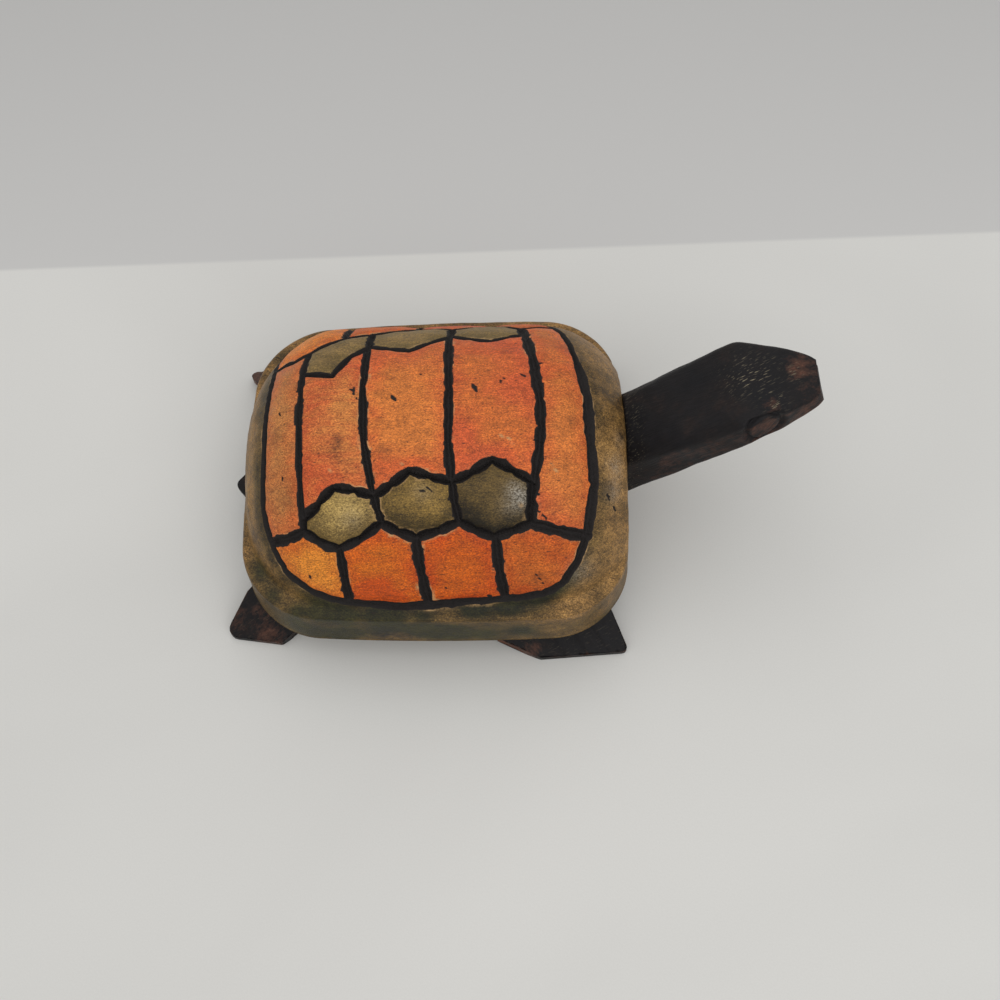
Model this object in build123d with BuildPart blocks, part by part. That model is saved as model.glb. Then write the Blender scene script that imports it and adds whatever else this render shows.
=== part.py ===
"""A carved wooden turtle: a barrel-backed shell with V-cut plates, a glued neck and head, four flippers, a tail
and the dowels that hold them.

All lengths are in millimetres. The turtle looks along +X and stands on z = 0, with the origin in the middle of
the floor that it covers. Left is +Y.
"""
import os
from math import ceil, cos, radians, sin, sqrt, tan

from build123d import *

# General sizes
clearance = 0.05  # a dowel in its hole, on the radius
fit_gap = 0.3  # a carved piece beside the wall of its notch
overrun = 3.0  # how far a cut passes the surface that it opens

# The block that the shell is carved from
stance = 14.0  # from the floor to the flat underside
block_length = 130.0
block_width = 115.0
side_bulge = 2.5  # each side of the outline bows out by this much
front_flare = 1.2  # the front corners stand further apart than the middle, on each side
corner_radius = 24.0
wall_lean = 3.4  # degrees that the walls lean in
brim_height = 18.0
brim_bevel = 2.6
brim_bevel_lean = 45.0  # degrees
foot_bevel = 0.8

# The barrel back
barrel_radius = 55.4
barrel_rear = 63.0  # how far the barrel reaches behind the block's middle
barrel_front = 68.0
shoulder_radius = 35.0
shoulder_bands = 7  # straight bands that round a shoulder, as a rasp leaves them

# The carved lines
groove_width = 3.0
groove_depth = 2.0
stroke_length = 18.0  # the longest that a knife stroke runs straight on the round back
stroke_run_on = 0.4  # a knife stroke passes the line that it meets by this much

# The neck and head, measured from the block's middle and its underside
neck_side = 3.0  # the neck stands this much to the left of the middle
neck_seat = 62.2  # how far forward the flat is that the neck is glued to
root_low = 11.0
root_high = 37.7
root_half_width = 11.7
throat_reach = 100.0  # the bend below
throat_rise = 52.0
nape_reach = 94.8  # the bend on top
nape_rise = 62.0
cheek_half_width = 14.4
face_reach = 108.5
face_low = 52.6
face_high = 64.0
face_half_width = 10.6
chin_reach = 120.3  # the snout's lower edge
chin_rise = 59.6
nose_reach = 118.1  # the snout's upper edge
nose_rise = 64.8
snout_half_width = 6.2
top_width_share = 0.94  # the top of the neck and head beside their underside
edge_bevel_share = 0.17  # the bevelled top edges, of the height there

# The eyes
eye_length = 9.4
eye_height = 8.0
eye_ring = 1.5
eye_depth = 0.9
eye_place_shares = (0.56, 0.5)  # from cheek to face, and from the lower to the upper edge
eye_facets = 14  # knife cuts round an eye

# The flippers
flipper_slope = 30.0  # degrees
flipper_thickness = 3.0
flipper_edge = 2.2
flipper_root = 7.0
tip_round = 3.0
toe_count = 3
toe_width = 2.0
toe_depth = 0.9
toe_length = 16.0
toe_turn = 34.0  # degrees that the toe cuts turn towards the nearer end of the turtle
left_rear_outset = 5.0  # the left rear flipper is glued on this much further out

# The tail
tail_reach = 72.0
tail_length = 25.0
tail_width = 18.0
tail_thickness = 4.5
tail_point = 8.0
tail_edge = 1.8
tail_side = 2.0

# The dowels
neck_dowel_radius = 3.0
neck_dowel_height = 26.5
neck_dowel_spread = 12.0
neck_dowel_in_shell = 16.0
neck_dowel_in_neck = 8.0
leg_dowel_radius = 2.0
leg_dowel_in_shell = 10.0
tail_dowel_radius = 2.0
tail_dowel_in_shell = 9.0
tail_dowel_share = 0.6  # of the tail's length, from its point
hole_end_gap = 0.4

# Sizes that follow
middle = (tail_reach - chin_reach) / 2  # the block's middle, from the origin
half_length = block_length / 2
half_width = block_width / 2
underside = Plane.XY.offset(stance)
seat = Plane.YZ.offset(middle + neck_seat)


# Places on the back, by their length along the barrel and their angle from the crest
def past_crest(along):
    """How far a place is past the straight crest, to the front (+) or to the rear (-)."""
    front = along - (barrel_front - shoulder_radius)
    rear = along + (barrel_rear - shoulder_radius)
    return max(front, 0) + min(rear, 0)


def on_back(along, angle):
    """A point on the back. The length is from the block's middle, the angle in degrees to the turtle's left."""
    radius = barrel_radius - shoulder_radius + sqrt(shoulder_radius**2 - past_crest(along) ** 2)
    turn = radians(angle)
    return Vector(middle + along, radius * sin(turn), stance + radius * cos(turn))


def out_of_back(along, angle):
    """The direction that the back faces at a place."""
    slope = past_crest(along) / shoulder_radius
    level = sqrt(1 - slope**2)
    turn = radians(angle)
    return Vector(slope, level * sin(turn), level * cos(turn))


def shoulder_profile(centre, first_turn):
    """The corners of a shoulder's straight bands, drawn on its side. The turn is in degrees, and runs down by 90."""
    turns = [radians(first_turn - 90 * band / shoulder_bands) for band in range(shoulder_bands + 1)]
    rise = stance + barrel_radius - shoulder_radius
    return [(middle + centre + shoulder_radius * cos(turn), rise + shoulder_radius * sin(turn)) for turn in turns]


# Knife work
def v_stroke(start, end, outward, width, depth):
    """What one straight stroke takes away: a V-shaped channel from start to end, open outward."""
    stroke = end - start
    along = stroke.normalized()
    flank = width / 2 / depth * (depth + overrun)
    with BuildSketch(Plane(start - along * stroke_run_on, x_dir=outward.cross(along), z_dir=along)) as knife:
        with BuildLine():
            Polyline((0, -depth), (flank, overrun), (-flank, overrun), close=True)
        make_face()
    return extrude(knife.sketch, amount=stroke.length + 2 * stroke_run_on, mode=Mode.PRIVATE)


def carve(places, lean_share=1):
    """A carved line over the back, from place to place. The share turns the knife up towards the vertical."""
    strokes_made = []
    for (along_1, angle_1), (along_2, angle_2) in zip(places, places[1:]):
        line = on_back(along_2, angle_2) - on_back(along_1, angle_1)
        strokes = ceil(line.length / stroke_length)
        steps = [step / strokes for step in range(strokes + 1)]
        ends = [(along_1 + step * (along_2 - along_1), angle_1 + step * (angle_2 - angle_1)) for step in steps]
        for start, end in zip(ends, ends[1:]):
            outward = out_of_back((start[0] + end[0]) / 2, (start[1] + end[1]) / 2 * lean_share)
            strokes_made.append(v_stroke(on_back(*start), on_back(*end), outward, groove_width, groove_depth))
    add(strokes_made, mode=Mode.SUBTRACT)


# The pattern of plates: a share of the half length, and degrees from the crest
cross_line_shares = [
    [(-0.62, 17), (-0.615, -10), (-0.605, -41)],
    [(-0.305, 41), (-0.31, 9), (-0.295, -11), (-0.257, -29), (-0.225, -38)],
    [(0.12, 47), (0.097, 9), (0.097, -12), (0.11, -25), (0.138, -38)],
    [(0.46, 46), (0.50, 22), (0.53, 3), (0.53, -7), (0.505, -21), (0.48, -39)],
]
plate_line_shares = [
    [(-0.605, -37), (-0.45, -26), (-0.257, -29), (-0.09, -21), (0.11, -25), (0.30, -18), (0.495, -26)],
    [(-0.605, -41), (-0.435, -46), (-0.225, -38), (-0.065, -43), (0.138, -38), (0.303, -43), (0.48, -39)],
    [(-0.62, 17), (-0.465, 14), (-0.305, 30), (-0.10, 27), (0.105, 37), (0.303, 33), (0.46, 37)],
    [(-0.61, 30), (-0.44, 37), (-0.30, 41), (-0.08, 49), (0.12, 47), (0.303, 54), (0.46, 46)],
]
side_line_shares = [
    [(-0.423, -46), (-0.405, -69)],
    [(-0.065, -43), (-0.017, -70)],
    [(0.312, -43), (0.352, -69)],
    [(-0.44, 37), (-0.42, 69)],
    [(-0.08, 49), (-0.04, 70)],
    [(0.303, 54), (0.335, 69)],
    [(-0.605, -41), (-0.765, -48)],
    [(0.48, -39), (0.735, -45)],
    [(-0.62, 17), (-0.61, 30), (-0.785, 36)],
    [(0.46, 46), (0.73, 52)],
]
loop_reach_share = 0.805  # the outer line, of the half length
loop_angle = 71.0
loop_power = 4  # how square its corners are
loop_strokes = 24
loop_lean_share = 0.55


def places_from(shares):
    """Places on the back from shares of the half length."""
    return [(share * half_length, angle) for share, angle in shares]


def loop_places():
    """The outer line, a rounded rectangle right round the back."""
    places = []
    for step in range(loop_strokes + 1):
        turn = radians(360 * step / loop_strokes)
        along = abs(cos(turn)) ** (2 / loop_power) * (1 if cos(turn) > 0 else -1)
        around = abs(sin(turn)) ** (2 / loop_power) * (1 if sin(turn) > 0 else -1)
        places.append((along * loop_reach_share * half_length, around * loop_angle))
    return places


# The flippers: their outlines from above in shares of the block's half length and half width, for the right side.
# The tip is the line between the two tip corners, and the dowel stands in the flat root.
front_flipper_shares = {
    "root": [(0.74, -0.42), (0.34, -0.42), (0.30, -0.94)],
    "tip": [(0.525, -1.045), (0.987, -1.014)],
    "dowel": [(0.55, -0.55)],
}
rear_flipper_shares = {
    "root": [(-0.46, -0.63), (-0.43, -0.42), (-0.77, -0.42), (-1.008, -0.643)],
    "tip": [(-1.138, -0.87), (-0.832, -0.922)],
    "dowel": [(-0.64, -0.52)],
}
flippers = {
    "leg_front_right": {"shares": front_flipper_shares, "side": 1, "end": 1, "outset": 0},
    "leg_front_left": {"shares": front_flipper_shares, "side": -1, "end": 1, "outset": 0},
    "leg_rear_right": {"shares": rear_flipper_shares, "side": 1, "end": -1, "outset": 0},
    "leg_rear_left": {"shares": rear_flipper_shares, "side": -1, "end": -1, "outset": left_rear_outset},
}


def flipper_places(leg, key):
    """A flipper's points on the floor plan, from its shares."""
    return [
        Vector(middle + x * half_length, leg["side"] * (y * half_width - leg["outset"]))
        for x, y in leg["shares"][key]
    ]


def outward_of(leg):
    """The level direction in which a flipper slopes down, square to its tip."""
    tip_1, tip_2 = flipper_places(leg, "tip")
    square = (tip_2 - tip_1).cross(Vector(0, 0, 1)).normalized()
    return square if square.Y * leg["side"] < 0 else -square


def make_flipper(leg):
    """A flat root glued under the block, and a thin flipper that slopes from it to the floor."""
    tip_1, tip_2 = flipper_places(leg, "tip")
    outward = outward_of(leg)
    slope = tan(radians(flipper_slope))
    upright = flipper_thickness / cos(radians(flipper_slope))
    top_run = (stance - flipper_edge) / slope
    under_start = (upright - flipper_edge) / slope
    under_run = (stance - flipper_root - flipper_edge + upright) / slope
    with BuildPart() as flipper:
        with BuildSketch() as outline:
            with BuildLine():
                Polyline(*flipper_places(leg, "root"), tip_1, tip_2, close=True)
            make_face()
            fillet(outline.vertices().sort_by_distance((tip_1 + tip_2) / 2)[:2], tip_round)
        extrude(amount=stance)
        side = Plane((tip_1 + tip_2) / 2, x_dir=-outward, z_dir=Vector(0, 0, 1).cross(outward))
        with BuildSketch(side):
            with BuildLine():
                Polyline(
                    (0, 0),
                    (0, flipper_edge),
                    (top_run, stance),
                    (half_width, stance),
                    (half_width, stance - flipper_root),
                    (under_run, stance - flipper_root),
                    (under_start, 0),
                    close=True,
                )
            make_face()
        extrude(amount=half_length, both=True, mode=Mode.INTERSECT)
        with BuildSketch(Plane.XY):
            with Locations(*flipper_places(leg, "dowel")):
                Circle(leg_dowel_radius + clearance)
        extrude(amount=stance, mode=Mode.SUBTRACT)
        toe_way = outward.rotate(Axis.Z, leg["side"] * leg["end"] * toe_turn)
        face_out = (outward * sin(radians(flipper_slope)) + Vector(0, 0, cos(radians(flipper_slope)))).normalized()
        for toe in range(toe_count):
            level = tip_1 + (tip_2 - tip_1) * ((toe + 1) / (toe_count + 1))
            inboard = toe_length * cos(radians(toe_turn))
            start = level + Vector(0, 0, flipper_edge)
            end = level - toe_way * toe_length + Vector(0, 0, flipper_edge + inboard * slope)
            add(v_stroke(start, end, face_out, toe_width, toe_depth), mode=Mode.SUBTRACT)
    return flipper.part


def make_dowel(plane, place, radius, length):
    """A dowel that stands on a plane."""
    with BuildPart() as dowel:
        with BuildSketch(plane):
            with Locations(place):
                Circle(radius)
        extrude(amount=length)
    return dowel.part


def finish(part, name):
    """Names a piece and writes it."""
    part.label = name
    export_step(part, f"parts/{name}.step")


os.makedirs("parts", exist_ok=True)

# The places of the dowels
neck_dowel_places = [
    (neck_side + hand * neck_dowel_spread / 2, stance + neck_dowel_height) for hand in (-1, 1)
]
tail_dowel_place = (middle - tail_reach + tail_dowel_share * tail_length, tail_side)

# The block, sawn to its outline
front = middle + half_length - side_bulge
rear = middle - half_length + side_bulge
front_half = half_width - side_bulge + front_flare
rear_half = half_width - side_bulge - front_flare
with BuildSketch() as block_outline:
    with BuildLine():
        ThreePointArc((front, -front_half), (front + side_bulge, 0), (front, front_half))
        ThreePointArc((front, front_half), (middle, half_width), (rear, rear_half))
        ThreePointArc((rear, rear_half), (rear - side_bulge, 0), (rear, -rear_half))
        ThreePointArc((rear, -rear_half), (middle, -half_width), (front, -front_half))
    make_face()
    fillet(block_outline.vertices(), corner_radius)

# The form of the back: a lying barrel with round shoulders, over a flat brim with a bevelled edge
wall_height = brim_height - brim_bevel
bevel_start = wall_height - wall_height * tan(radians(wall_lean))
with BuildPart() as back_form:
    with BuildSketch(Plane.XZ):
        with BuildLine():
            Polyline(
                (middle - barrel_rear, stance),
                *shoulder_profile(shoulder_radius - barrel_rear, 180),
                *shoulder_profile(barrel_front - shoulder_radius, 90),
                (middle + barrel_front, stance),
                close=True,
            )
        make_face()
    revolve(axis=Axis((middle, 0, stance), (1, 0, 0)))
    with BuildSketch(underside):
        with Locations((middle, 0)):
            Rectangle(block_length + 2 * overrun, block_width + 2 * overrun)
    extrude(amount=bevel_start)
    with BuildSketch(underside.offset(bevel_start)):
        add(block_outline.sketch)
    extrude(amount=brim_height - bevel_start, taper=brim_bevel_lean)

# The shell: the block cut to the form of the back, and carved
with BuildPart() as shell:
    with BuildSketch(underside):
        add(block_outline.sketch)
    extrude(amount=barrel_radius + overrun, taper=wall_lean)
    chamfer(shell.faces().sort_by(Axis.Z)[0].edges(), foot_bevel)
    add(back_form.part, mode=Mode.INTERSECT)
    # The flat that the neck is let into
    with BuildSketch(seat):
        with Locations((neck_side, stance + root_low - fit_gap)):
            Rectangle(2 * (root_half_width + fit_gap), 2 * barrel_radius, align=(Align.CENTER, Align.MIN))
    extrude(amount=half_length - neck_seat + overrun, mode=Mode.SUBTRACT)
    # Blind holes for the dowels
    with BuildSketch(seat):
        with Locations(neck_dowel_places):
            Circle(neck_dowel_radius + clearance)
    extrude(amount=-(neck_dowel_in_shell + hole_end_gap), mode=Mode.SUBTRACT)
    with BuildSketch(underside):
        with Locations(*[place for leg in flippers.values() for place in flipper_places(leg, "dowel")]):
            Circle(leg_dowel_radius + clearance)
    extrude(amount=leg_dowel_in_shell + hole_end_gap, mode=Mode.SUBTRACT)
    with BuildSketch(underside):
        with Locations(tail_dowel_place):
            Circle(tail_dowel_radius + clearance)
    extrude(amount=tail_dowel_in_shell + hole_end_gap, mode=Mode.SUBTRACT)
    # The carved lines
    for shares in cross_line_shares + plate_line_shares + side_line_shares:
        carve(places_from(shares))
    carve(loop_places(), loop_lean_share)
finish(shell.part, "shell")

# The neck and head, one stick sawn and whittled between four sections
neck_sections = [
    ((neck_seat, root_low), (neck_seat, root_high), root_half_width),
    ((throat_reach, throat_rise), (nape_reach, nape_rise), cheek_half_width),
    ((face_reach, face_low), (face_reach, face_high), face_half_width),
    ((chin_reach, chin_rise), (nose_reach, nose_rise), snout_half_width),
]


def neck_point(place, side=0):
    """A point of the neck from its reach and rise, and how far it is to the left of the neck's own middle."""
    reach, rise = place
    return Vector(middle + reach, neck_side + side, stance + rise)


def eye_outline(margin):
    """The corners of an eye's knife-cut outline, with a margin round it."""
    turns = [radians(360 * cut / eye_facets) for cut in range(eye_facets)]
    return [((eye_length / 2 + margin) * cos(turn), (eye_height / 2 + margin) * sin(turn)) for turn in turns]


with BuildPart() as neck_and_head:
    for low, high, low_half in neck_sections:
        base = neck_point(low)
        up = neck_point(high) - base
        tall = up.length
        bevel = edge_bevel_share * tall
        high_half = top_width_share * low_half
        with BuildSketch(Plane(base, x_dir=(0, 1, 0), z_dir=Vector(0, 1, 0).cross(up))):
            with BuildLine():
                Polyline(
                    (-low_half, 0),
                    (low_half, 0),
                    (high_half, tall - bevel),
                    (high_half - bevel, tall),
                    (bevel - high_half, tall),
                    (-high_half, tall - bevel),
                    close=True,
                )
            make_face()
    loft(ruled=True)
    # The eyes, each a ring cut round a raised disc
    cheek_low, cheek_high, cheek_half = neck_sections[1]
    face_low_end, face_high_end, face_half = neck_sections[2]
    forward_share, upward_share = eye_place_shares
    for hand in (-1, 1):
        cheek_foot = neck_point(cheek_low, hand * cheek_half)
        cheek_top = neck_point(cheek_high, hand * cheek_half * top_width_share)
        face_foot = neck_point(face_low_end, hand * face_half)
        face_top = neck_point(face_high_end, hand * face_half * top_width_share)
        behind = cheek_foot + (cheek_top - cheek_foot) * upward_share
        before = face_foot + (face_top - face_foot) * upward_share
        forward = before - behind
        facing = forward.cross(cheek_top - cheek_foot) * -hand
        eye_plane = Plane(behind + forward * forward_share, x_dir=forward, z_dir=facing)
        with BuildSketch(eye_plane.offset(overrun)):
            for margin, mode in ((eye_ring, Mode.ADD), (0, Mode.SUBTRACT)):
                with BuildLine():
                    Polyline(*eye_outline(margin), close=True)
                make_face(mode=mode)
        extrude(amount=-(overrun + eye_depth), mode=Mode.SUBTRACT)
    with BuildSketch(seat):
        with Locations(neck_dowel_places):
            Circle(neck_dowel_radius + clearance)
    extrude(amount=neck_dowel_in_neck + hole_end_gap, mode=Mode.SUBTRACT)
finish(neck_and_head.part, "neck_and_head")

# The four flippers
for name, leg in flippers.items():
    finish(make_flipper(leg), name)

# The tail, a flat pointed piece under the rear of the block
with BuildPart() as tail:
    point = middle - tail_reach
    with BuildSketch(underside):
        with BuildLine():
            Polyline(
                (point, tail_side),
                (point + tail_point, tail_side - tail_width / 2),
                (point + tail_length, tail_side - tail_width / 2),
                (point + tail_length, tail_side + tail_width / 2),
                (point + tail_point, tail_side + tail_width / 2),
                close=True,
            )
        make_face()
    extrude(amount=-tail_thickness)
    with BuildSketch(Plane.XZ):
        with BuildLine():
            Polyline(
                (point, stance),
                (point, stance - tail_edge),
                (point + tail_point, stance - tail_thickness),
                (point + tail_length, stance - tail_thickness),
                (point + tail_length, stance),
                close=True,
            )
        make_face()
    extrude(amount=half_width, both=True, mode=Mode.INTERSECT)
    with BuildSketch(underside):
        with Locations(tail_dowel_place):
            Circle(tail_dowel_radius + clearance)
    extrude(amount=-tail_thickness, mode=Mode.SUBTRACT)
finish(tail.part, "tail")

# The dowels
for hand, place in zip(("right", "left"), neck_dowel_places):
    base = Plane.YZ.offset(middle + neck_seat - neck_dowel_in_shell)
    dowel = make_dowel(base, place, neck_dowel_radius, neck_dowel_in_shell + neck_dowel_in_neck)
    finish(dowel, f"neck_dowel_{hand}")
for name, leg in flippers.items():
    (place,) = flipper_places(leg, "dowel")
    base = underside.offset(-flipper_root)
    finish(make_dowel(base, place, leg_dowel_radius, flipper_root + leg_dowel_in_shell), f"{name}_dowel")
base = underside.offset(-tail_thickness)
dowel = make_dowel(base, tail_dowel_place, tail_dowel_radius, tail_thickness + tail_dowel_in_shell)
finish(dowel, "tail_dowel")
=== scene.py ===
"""A carved wooden turtle in Blender: stained and waxed shell with hand-cut grooves, dark neck, legs and tail.

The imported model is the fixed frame. Every visible piece takes the place of one of its nodes, except the
hidden dowels, which only get their material. Lengths in the tables are in millimetres, measured from the
middle of the shell's underside, with +X to the head, +Y to the turtle's left and +Z up.
"""
import math

import bmesh
import bpy
import numpy as np
from mathutils import Matrix, Vector


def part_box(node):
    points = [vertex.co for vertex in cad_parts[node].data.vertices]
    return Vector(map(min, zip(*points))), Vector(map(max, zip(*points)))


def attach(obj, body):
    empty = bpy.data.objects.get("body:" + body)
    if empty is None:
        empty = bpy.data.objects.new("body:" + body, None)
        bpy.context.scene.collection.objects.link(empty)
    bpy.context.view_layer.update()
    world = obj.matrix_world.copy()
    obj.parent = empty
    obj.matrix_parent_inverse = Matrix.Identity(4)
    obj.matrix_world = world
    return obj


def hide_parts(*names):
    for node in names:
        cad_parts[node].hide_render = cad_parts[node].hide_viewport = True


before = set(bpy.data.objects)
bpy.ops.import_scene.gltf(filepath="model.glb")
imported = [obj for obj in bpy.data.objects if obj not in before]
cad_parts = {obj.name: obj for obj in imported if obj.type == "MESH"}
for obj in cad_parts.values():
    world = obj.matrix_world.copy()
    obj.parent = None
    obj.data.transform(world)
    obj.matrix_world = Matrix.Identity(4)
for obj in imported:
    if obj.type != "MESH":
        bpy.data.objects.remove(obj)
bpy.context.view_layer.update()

bl_info = {
    "name": "Carved turtle",
    "version": (1, 0, 0),
    "blender": (4, 5, 0),
    "location": "View3D > Sidebar > Turtle",
    "description": "Builds a carved and stained wooden turtle around its packed model",
    "category": "Add Mesh",
}

MM = 0.001
SHELL_LOW, SHELL_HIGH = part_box("shell")

# Sizes of the block, as the frame has them. The lean is a slope, and heights are from the underside
STANCE = SHELL_LOW.z / MM
HALF_LENGTH = 65.0
HALF_WIDTH = 57.5
MIDDLE = SHELL_HIGH.x / MM - HALF_LENGTH
SIDE_BULGE = 2.5
FRONT_FLARE = 1.2
CORNER_RADIUS = 24.0
WALL_LEAN = math.tan(math.radians(3.4))
BRIM_HEIGHT = 18.0
BARREL_RADIUS = (SHELL_HIGH.z - SHELL_LOW.z) / MM
BARREL_REAR = 63.0
BARREL_FRONT = 68.0
SHOULDER_RADIUS = 35.0
FOOT_BEVEL = 0.8

# The skin of the shell: the ends of the line where its cells meet on top, how many cells it has round it and
# down it, how finely they are laid out in mm, and how near a cut they are split in three
SPINE_REAR, SPINE_FRONT = -46.0, 43.0
STATIONS = 400
TOP_RINGS, WALL_RINGS, UNDER_RINGS = 78, 22, 5
FINE_STEP = 0.25
SPLIT_BAND = 1.1

# The carved lines of the shell: length along the back in mm, angle from the crest in degrees, + to the left.
# A knife stroke is drawn in steps of this many mm
KNIFE_STEP = 2.2
CROSS_LINES = [
    [(-40.6, 17), (-40.4, 8), (-40.3, -10), (-39.8, -24), (-39.4, -40)],
    [(-19.8, 43), (-20.0, 30), (-20.4, 9), (-19.6, -11), (-17.2, -27), (-15.6, -34), (-14.6, -38)],
    [(6.8, 47), (6.0, 37), (6.4, 9), (6.2, -12), (7.0, -25), (8.0, -32), (9.0, -38)],
    [
        (29.4, 46), (31.0, 36), (32.8, 22), (34.6, 3), (34.9, -7), (34.0, -15), (32.6, -23), (31.4, -31),
        (31.2, -39),
    ],
]
NEAR_INNER = [
    (-39.4, -37), (-34, -31), (-29.2, -26), (-22.5, -27), (-16.7, -29), (-11.5, -25.5), (-5.9, -21),
    (0.5, -23), (7.2, -25), (13.2, -22), (19.6, -18), (26, -21.5), (32.2, -26),
]
NEAR_OUTER = [
    (-39.6, -41), (-34.5, -44), (-28.3, -46.5), (-21, -43), (-14.6, -38), (-9.8, -41), (-4.2, -43.5),
    (2.5, -41), (9, -38), (14, -41), (19.7, -43.5), (25.5, -41.5), (31.2, -39),
]
FAR_INNER = [
    (-40.6, 17), (-30.3, 14), (-25.6, 23), (-19.8, 30), (-13, 28), (-6.6, 27), (0, 32), (6.2, 38),
    (13, 35), (19.7, 33), (25, 36), (29.9, 38),
]
FAR_OUTER = [
    (-39.7, 30), (-28.5, 38), (-19.6, 42), (-12, 46), (-5.2, 49), (0.8, 49), (6.8, 47), (13.5, 51),
    (19.7, 54), (25, 50), (29.4, 46),
]
SIDE_LINES = [
    [(-27.9, -47), (-27.2, -57), (-26.4, -68)],
    [(-4.2, -44), (-3.2, -56), (-1.6, -69)],
    [(20.2, -44), (21.2, -56), (22.7, -67.4)],
    [(-28.5, 38), (-28.0, 54), (-27.2, 70.3)],
    [(-5.2, 49), (-4.4, 60), (-3.0, 71)],
    [(19.7, 54), (20.6, 62), (22.0, 69)],
    [(-39.6, -41), (-44.6, -44), (-50.6, -47.5)],
    [(31.2, -39), (39.0, -41.5), (49.0, -45.2)],
    [(-40.6, 17), (-40.3, 24), (-39.7, 30), (-45.5, 29), (-52.0, 34)],
    [(29.4, 46), (35.5, 48.4), (41.0, 50.3)],
]
OUTER_RIGHT = [(47.5, 20.6), (49.9, 6), (50.4, -12.6), (51.2, -26.8), (48.6, -44.5)]
OUTER_NEAR = [
    (48.6, -44.5), (45.6, -54), (40.6, -62), (34.5, -65.5), (27.1, -67.3), (19.5, -68), (11.8, -68.3),
    (1, -69.4), (-9.5, -69.8), (-20, -68.8), (-30.4, -66.8), (-39.5, -63.4), (-47.1, -58),
]
OUTER_REAR = [
    (-47.1, -58), (-50.8, -48.4), (-53.1, -34.8), (-52.9, -24), (-52.5, -13.4), (-52.4, 8), (-53.0, 29.5),
]
OUTER_FAR = [
    (-53, 29.5), (-53.2, 50), (-51.5, 66), (-45, 69.6), (-30, 70.6), (-14, 71), (0, 71), (20, 69.8),
    (31, 66), (39, 57), (43.4, 43.6), (46, 31), (47.5, 20.6),
]
SIDE_SHARES = (1.0, 1.12, 1.12, 0.9, 0.9, 0.9, 1.25, 1.35, 0.9, 0.9)
# Line, share of the groove's width, how much a stroke swells between its ends
LINES = [
    (CROSS_LINES[0], 0.82, 0.35), (CROSS_LINES[1], 0.84, 0.35), (CROSS_LINES[2], 0.95, 0.3),
    (CROSS_LINES[3], 1.12, 0.4),
    (NEAR_INNER, 0.95, 0.55), (NEAR_OUTER, 0.95, 0.45), (FAR_INNER, 0.82, 0.4), (FAR_OUTER, 0.82, 0.3),
    (OUTER_RIGHT, 1.25, 0.25), (OUTER_NEAR, 1.0, 0.12), (OUTER_REAR, 0.85, 0.12), (OUTER_FAR, 0.85, 0.1),
    *((line, share, 0.3) for line, share in zip(SIDE_LINES, SIDE_SHARES)),
]
# Dark marks where the knife slipped, and knots: two places, and a width in mm
DARK_MARKS = [
    ((32.5, -12), (35.4, -13), 0.8), ((31.9, -29), (34.4, -30), 0.7), ((33.2, 16), (35.6, 18), 0.7),
    ((-36.2, -43), (-33.8, -45.5), 0.8), ((36, -37), (33.4, -35), 0.8), ((-11.1, 4.6), (-10.2, 3.2), 1.4),
    ((13.9, 8.6), (14.7, 5.6), 1.3), ((22, 8.8), (23.5, 10.3), 1.2), ((29.2, 12.4), (30, 11.4), 1),
    ((-24.3, 7.2), (-21.8, 3.7), 0.5), ((-23.2, 8.4), (-22.4, 5.6), 0.4), ((-0.3, -26.4), (1.9, -29), 0.6),
    ((-3.4, -27.4), (0.8, -28.3), 0.5), ((-16.6, -46.9), (-14.7, -48.9), 0.5),
    ((32.2, -57.1), (34.7, -61), 0.7), ((-38.9, -56.4), (-38.4, -57.6), 1), ((-2.9, 14), (-2.2, 13), 0.5),
    ((-45.6, -22), (-45, -25), 0.6), ((-47, 3), (-46.4, 1), 0.6), ((4, -62), (4.5, -63.2), 0.6),
    ((17.2, -66), (18, -66.6), 0.9), ((55, -30.5), (55.8, -33), 1), ((57.5, -36), (58, -38), 0.9),
    ((40.6, 13), (41.2, 12.2), 0.6),
]
# Pale scratches through the stain
PALE_MARKS = [
    ((24.8, -11.4), (26.4, -14.4), 0.45), ((12, -32.8), (13.3, -37.7), 0.4),
    ((27.6, -32), (29, -36), 0.35), ((-8.6, -16), (-7.8, -19), 0.3), ((54, -18), (56.8, -21), 0.5),
    ((38, -20), (39.4, -23.5), 0.3), ((-30, -20), (-28.8, -22), 0.3), ((22, -9), (23.2, -11.8), 0.3),
]
# Soft spots on the shell: length, angle, radius in mm and amount. Dark spots are grime, green ones are stain
# on the brim, dust lies pale in the pores, the pale spots on the third hexagon are a painted highlight,
# and wear is rubbed thin where + and freshly stained where -
DARK_SPOTS = [
    (-27.5, -11, 2.4, 0.7), (-27.9, -15, 2, 0.6), (-13.2, -13.8, 1.8, 0.6), (44.6, -5.3, 1.7, 0.7),
    (33.6, -59, 2.6, 0.6), (-30, 20, 2.6, 0.4), (-47.5, -8, 3, 0.35), (-44, -30, 3, 0.3),
    (55.3, -28, 2.6, 0.7), (57.5, -40, 3, 0.7), (56, 12, 2.6, 0.5), (60.5, -6, 3.5, 0.9), (61, 12, 4, 0.9),
    (-57, -50, 4, 0.5), (-17, -84, 4.5, 1), (-10, -86, 3.5, 0.8), (3, -80, 3, 0.4), (25, -78, 4, 0.4),
    (-38, -80, 5, 0.5), (8.5, 22, 1.6, 0.5), (26, 25, 3, 0.3), (42, 30, 4, 0.35), (46, -46, 2, 0.4),
]
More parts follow.
